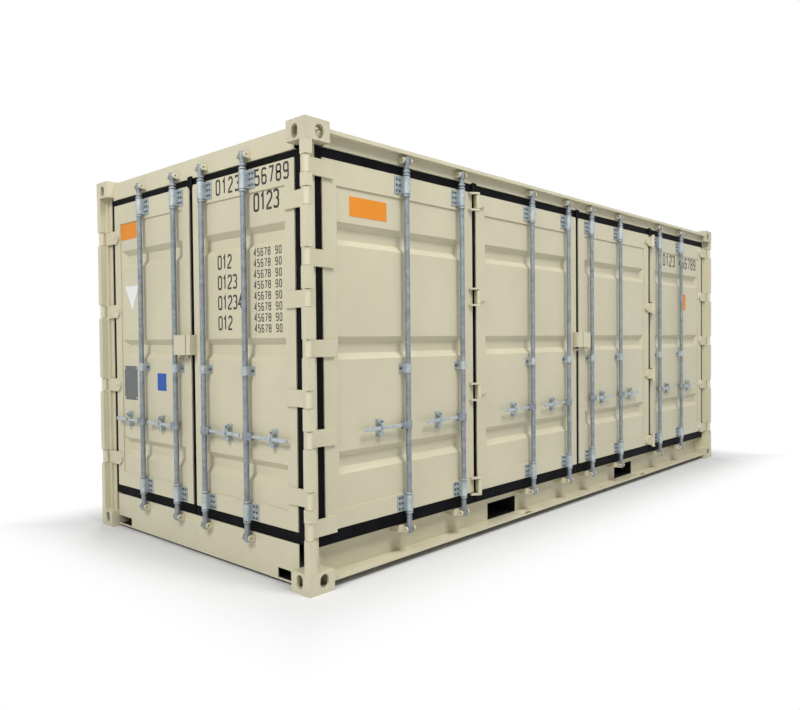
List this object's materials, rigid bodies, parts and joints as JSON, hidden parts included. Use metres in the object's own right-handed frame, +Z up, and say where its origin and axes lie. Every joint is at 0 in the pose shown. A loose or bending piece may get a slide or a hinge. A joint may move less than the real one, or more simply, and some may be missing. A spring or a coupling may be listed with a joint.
{
  "type": "shipping container",
  "caption": "Steel dry freight container with folding side doors, double end doors, lock bars with handles, corner castings and forklift pockets.",
  "frame": {"origin": "on the ground below the middle of the box", "axes": "+X along the length, away from the end doors; +Y across, away from the folding side doors; +Z up"},
  "size_m": [6.058, 2.438, 2.591],
  "materials": {
    "cream_paint": "semi-gloss cream paint over steel",
    "galvanised": "dull zinc",
    "black_rubber": "matte black",
    "plywood": "sealed plywood"
  },
  "bodies": {
    "frame": {"corner_castings": "cream_paint", "corner_posts": "cream_paint", "top_side_rails": "cream_paint", "bottom_side_rails": "cream_paint", "side_rain_lip": "cream_paint", "side_door_stops": "cream_paint", "door_header": "cream_paint", "door_sill": "cream_paint", "blind_end_rails": "cream_paint", "cross_members": "cream_paint", "forklift_pockets": "cream_paint", "plywood_floor": "plywood", "roof_panel": "cream_paint", "back_wall": "cream_paint", "blind_end_wall": "cream_paint", "hinge_columns": "cream_paint", "cam_keepers": "cream_paint"},
    "side_leaf_1": {"side_leaf_1": "cream_paint", "side_leaf_1_seal": "black_rubber", "side_leaf_1_lock_gear": "galvanised"},
    "side_leaf_1_bar_1": {"side_leaf_1_bar_1": "galvanised"},
    "side_leaf_1_handle_1": {"side_leaf_1_handle_1": "galvanised"},
    "side_leaf_1_bar_2": {"side_leaf_1_bar_2": "galvanised"},
    "side_leaf_1_handle_2": {"side_leaf_1_handle_2": "galvanised"},
    "side_leaf_2": {"side_leaf_2": "cream_paint", "side_leaf_2_seal": "black_rubber", "side_leaf_2_lock_gear": "galvanised"},
    "side_leaf_2_bar_1": {"side_leaf_2_bar_1": "galvanised"},
    "side_leaf_2_handle_1": {"side_leaf_2_handle_1": "galvanised"},
    "side_leaf_2_bar_2": {"side_leaf_2_bar_2": "galvanised"},
    "side_leaf_2_handle_2": {"side_leaf_2_handle_2": "galvanised"},
    "side_leaf_3": {"side_leaf_3": "cream_paint", "side_leaf_3_seal": "black_rubber", "side_leaf_3_lock_gear": "galvanised"},
    "side_leaf_3_bar_1": {"side_leaf_3_bar_1": "galvanised"},
    "side_leaf_3_handle_1": {"side_leaf_3_handle_1": "galvanised"},
    "side_leaf_3_bar_2": {"side_leaf_3_bar_2": "galvanised"},
    "side_leaf_3_handle_2": {"side_leaf_3_handle_2": "galvanised"},
    "side_leaf_4": {"side_leaf_4": "cream_paint", "side_leaf_4_seal": "black_rubber", "side_leaf_4_lock_gear": "galvanised"},
    "side_leaf_4_bar_1": {"side_leaf_4_bar_1": "galvanised"},
    "side_leaf_4_handle_1": {"side_leaf_4_handle_1": "galvanised"},
    "side_leaf_4_bar_2": {"side_leaf_4_bar_2": "galvanised"},
    "side_leaf_4_handle_2": {"side_leaf_4_handle_2": "galvanised"},
    "end_leaf_left": {"end_leaf_left": "cream_paint", "end_leaf_left_seal": "black_rubber", "end_leaf_left_lock_gear": "galvanised"},
    "end_leaf_left_bar_1": {"end_leaf_left_bar_1": "galvanised"},
    "end_leaf_left_handle_1": {"end_leaf_left_handle_1": "galvanised"},
    "end_leaf_left_bar_2": {"end_leaf_left_bar_2": "galvanised"},
    "end_leaf_left_handle_2": {"end_leaf_left_handle_2": "galvanised"},
    "end_leaf_right": {"end_leaf_right": "cream_paint", "end_leaf_right_seal": "black_rubber", "end_leaf_right_lock_gear": "galvanised"},
    "end_leaf_right_bar_1": {"end_leaf_right_bar_1": "galvanised"},
    "end_leaf_right_handle_1": {"end_leaf_right_handle_1": "galvanised"},
    "end_leaf_right_bar_2": {"end_leaf_right_bar_2": "galvanised"},
    "end_leaf_right_handle_2": {"end_leaf_right_handle_2": "galvanised"}
  },
  "joints": [
    {"name": "side_leaf_1_swing", "type": "hinge", "parent": "frame", "child": "side_leaf_1", "pos_m": [-3.004, -1.194, 1.3], "axis": [0, 0, -1], "range_deg": [0, 210]},
    {"name": "side_leaf_4_swing", "type": "hinge", "parent": "frame", "child": "side_leaf_4", "pos_m": [3.004, -1.194, 1.3], "axis": [0, 0, 1], "range_deg": [0, 210]},
    {"name": "side_leaf_2_fold", "type": "hinge", "parent": "side_leaf_1", "child": "side_leaf_2", "pos_m": [-1.46, -1.199, 1.3], "axis": [0, 0, 1], "range_deg": [-165, 0]},
    {"name": "side_leaf_3_fold", "type": "hinge", "parent": "side_leaf_4", "child": "side_leaf_3", "pos_m": [1.46, -1.199, 1.3], "axis": [0, 0, -1], "range_deg": [-165, 0]},
    {"name": "end_leaf_left_swing", "type": "hinge", "parent": "frame", "child": "end_leaf_left", "pos_m": [-3.004, 1.194, 1.3], "axis": [0, 0, -1], "range_deg": [0, 255]},
    {"name": "end_leaf_right_swing", "type": "hinge", "parent": "frame", "child": "end_leaf_right", "pos_m": [-3.004, -1.194, 1.3], "axis": [0, 0, 1], "range_deg": [0, 255]},
    {"name": "side_leaf_1_bar_1_turn", "type": "hinge", "parent": "side_leaf_1", "child": "side_leaf_1_bar_1", "pos_m": [-2.197, -1.195, 1.3], "axis": [0, 0, 1], "range_deg": [0, 105]},
    {"name": "side_leaf_1_handle_1_lift", "type": "hinge", "parent": "side_leaf_1_bar_1", "child": "side_leaf_1_handle_1", "pos_m": [-2.241, -1.195, 0.862], "axis": [0, 1, 0], "range_deg": [0, 30]},
    {"name": "side_leaf_1_bar_2_turn", "type": "hinge", "parent": "side_leaf_1", "child": "side_leaf_1_bar_2", "pos_m": [-1.638, -1.195, 1.3], "axis": [0, 0, 1], "range_deg": [0, 105]},
    {"name": "side_leaf_1_handle_2_lift", "type": "hinge", "parent": "side_leaf_1_bar_2", "child": "side_leaf_1_handle_2", "pos_m": [-1.682, -1.195, 0.862], "axis": [0, 1, 0], "range_deg": [0, 30]},
    {"name": "side_leaf_2_bar_1_turn", "type": "hinge", "parent": "side_leaf_2", "child": "side_leaf_2_bar_1", "pos_m": [-0.753, -1.195, 1.3], "axis": [0, 0, 1], "range_deg": [0, 105]},
    {"name": "side_leaf_2_handle_1_lift", "type": "hinge", "parent": "side_leaf_2_bar_1", "child": "side_leaf_2_handle_1", "pos_m": [-0.797, -1.195, 0.862], "axis": [0, 1, 0], "range_deg": [0, 30]},
    {"name": "side_leaf_2_bar_2_turn", "type": "hinge", "parent": "side_leaf_2", "child": "side_leaf_2_bar_2", "pos_m": [-0.2, -1.195, 1.3], "axis": [0, 0, 1], "range_deg": [0, 105]},
    {"name": "side_leaf_2_handle_2_lift", "type": "hinge", "parent": "side_leaf_2_bar_2", "child": "side_leaf_2_handle_2", "pos_m": [-0.244, -1.195, 0.862], "axis": [0, 1, 0], "range_deg": [0, 30]},
    {"name": "side_leaf_3_bar_1_turn", "type": "hinge", "parent": "side_leaf_3", "child": "side_leaf_3_bar_1", "pos_m": [0.2, -1.195, 1.3], "axis": [0, 0, -1], "range_deg": [0, 105]},
    {"name": "side_leaf_3_handle_1_lift", "type": "hinge", "parent": "side_leaf_3_bar_1", "child": "side_leaf_3_handle_1", "pos_m": [0.244, -1.195, 0.862], "axis": [0, -1, 0], "range_deg": [0, 30]},
    {"name": "side_leaf_3_bar_2_turn", "type": "hinge", "parent": "side_leaf_3", "child": "side_leaf_3_bar_2", "pos_m": [0.753, -1.195, 1.3], "axis": [0, 0, -1], "range_deg": [0, 105]},
    {"name": "side_leaf_3_handle_2_lift", "type": "hinge", "parent": "side_leaf_3_bar_2", "child": "side_leaf_3_handle_2", "pos_m": [0.797, -1.195, 0.862], "axis": [0, -1, 0], "range_deg": [0, 30]},
    {"name": "side_leaf_4_bar_1_turn", "type": "hinge", "parent": "side_leaf_4", "child": "side_leaf_4_bar_1", "pos_m": [1.638, -1.195, 1.3], "axis": [0, 0, -1], "range_deg": [0, 105]},
    {"name": "side_leaf_4_handle_1_lift", "type": "hinge", "parent": "side_leaf_4_bar_1", "child": "side_leaf_4_handle_1", "pos_m": [1.682, -1.195, 0.862], "axis": [0, -1, 0], "range_deg": [0, 30]},
    {"name": "side_leaf_4_bar_2_turn", "type": "hinge", "parent": "side_leaf_4", "child": "side_leaf_4_bar_2", "pos_m": [2.197, -1.195, 1.3], "axis": [0, 0, -1], "range_deg": [0, 105]},
    {"name": "side_leaf_4_handle_2_lift", "type": "hinge", "parent": "side_leaf_4_bar_2", "child": "side_leaf_4_handle_2", "pos_m": [2.241, -1.195, 0.862], "axis": [0, -1, 0], "range_deg": [0, 30]},
    {"name": "end_leaf_left_bar_1_turn", "type": "hinge", "parent": "end_leaf_left", "child": "end_leaf_left_bar_1", "pos_m": [-3.005, 0.619, 1.3], "axis": [0, 0, -1], "range_deg": [-105, 0]},
    {"name": "end_leaf_left_handle_1_lift", "type": "hinge", "parent": "end_leaf_left_bar_1", "child": "end_leaf_left_handle_1", "pos_m": [-3.005, 0.663, 0.826], "axis": [1, 0, 0], "range_deg": [0, 30]},
    {"name": "end_leaf_left_bar_2_turn", "type": "hinge", "parent": "end_leaf_left", "child": "end_leaf_left_bar_2", "pos_m": [-3.005, 0.169, 1.3], "axis": [0, 0, -1], "range_deg": [-105, 0]},
    {"name": "end_leaf_left_handle_2_lift", "type": "hinge", "parent": "end_leaf_left_bar_2", "child": "end_leaf_left_handle_2", "pos_m": [-3.005, 0.213, 0.826], "axis": [1, 0, 0], "range_deg": [0, 30]},
    {"name": "end_leaf_right_bar_1_turn", "type": "hinge", "parent": "end_leaf_right", "child": "end_leaf_right_bar_1", "pos_m": [-3.005, -0.169, 1.3], "axis": [0, 0, 1], "range_deg": [-105, 0]},
    {"name": "end_leaf_right_handle_1_lift", "type": "hinge", "parent": "end_leaf_right_bar_1", "child": "end_leaf_right_handle_1", "pos_m": [-3.005, -0.213, 0.826], "axis": [-1, 0, 0], "range_deg": [0, 30]},
    {"name": "end_leaf_right_bar_2_turn", "type": "hinge", "parent": "end_leaf_right", "child": "end_leaf_right_bar_2", "pos_m": [-3.005, -0.619, 1.3], "axis": [0, 0, 1], "range_deg": [-105, 0]},
    {"name": "end_leaf_right_handle_2_lift", "type": "hinge", "parent": "end_leaf_right_bar_2", "child": "end_leaf_right_handle_2", "pos_m": [-3.005, -0.663, 0.826], "axis": [-1, 0, 0], "range_deg": [0, 30]}
  ]
}
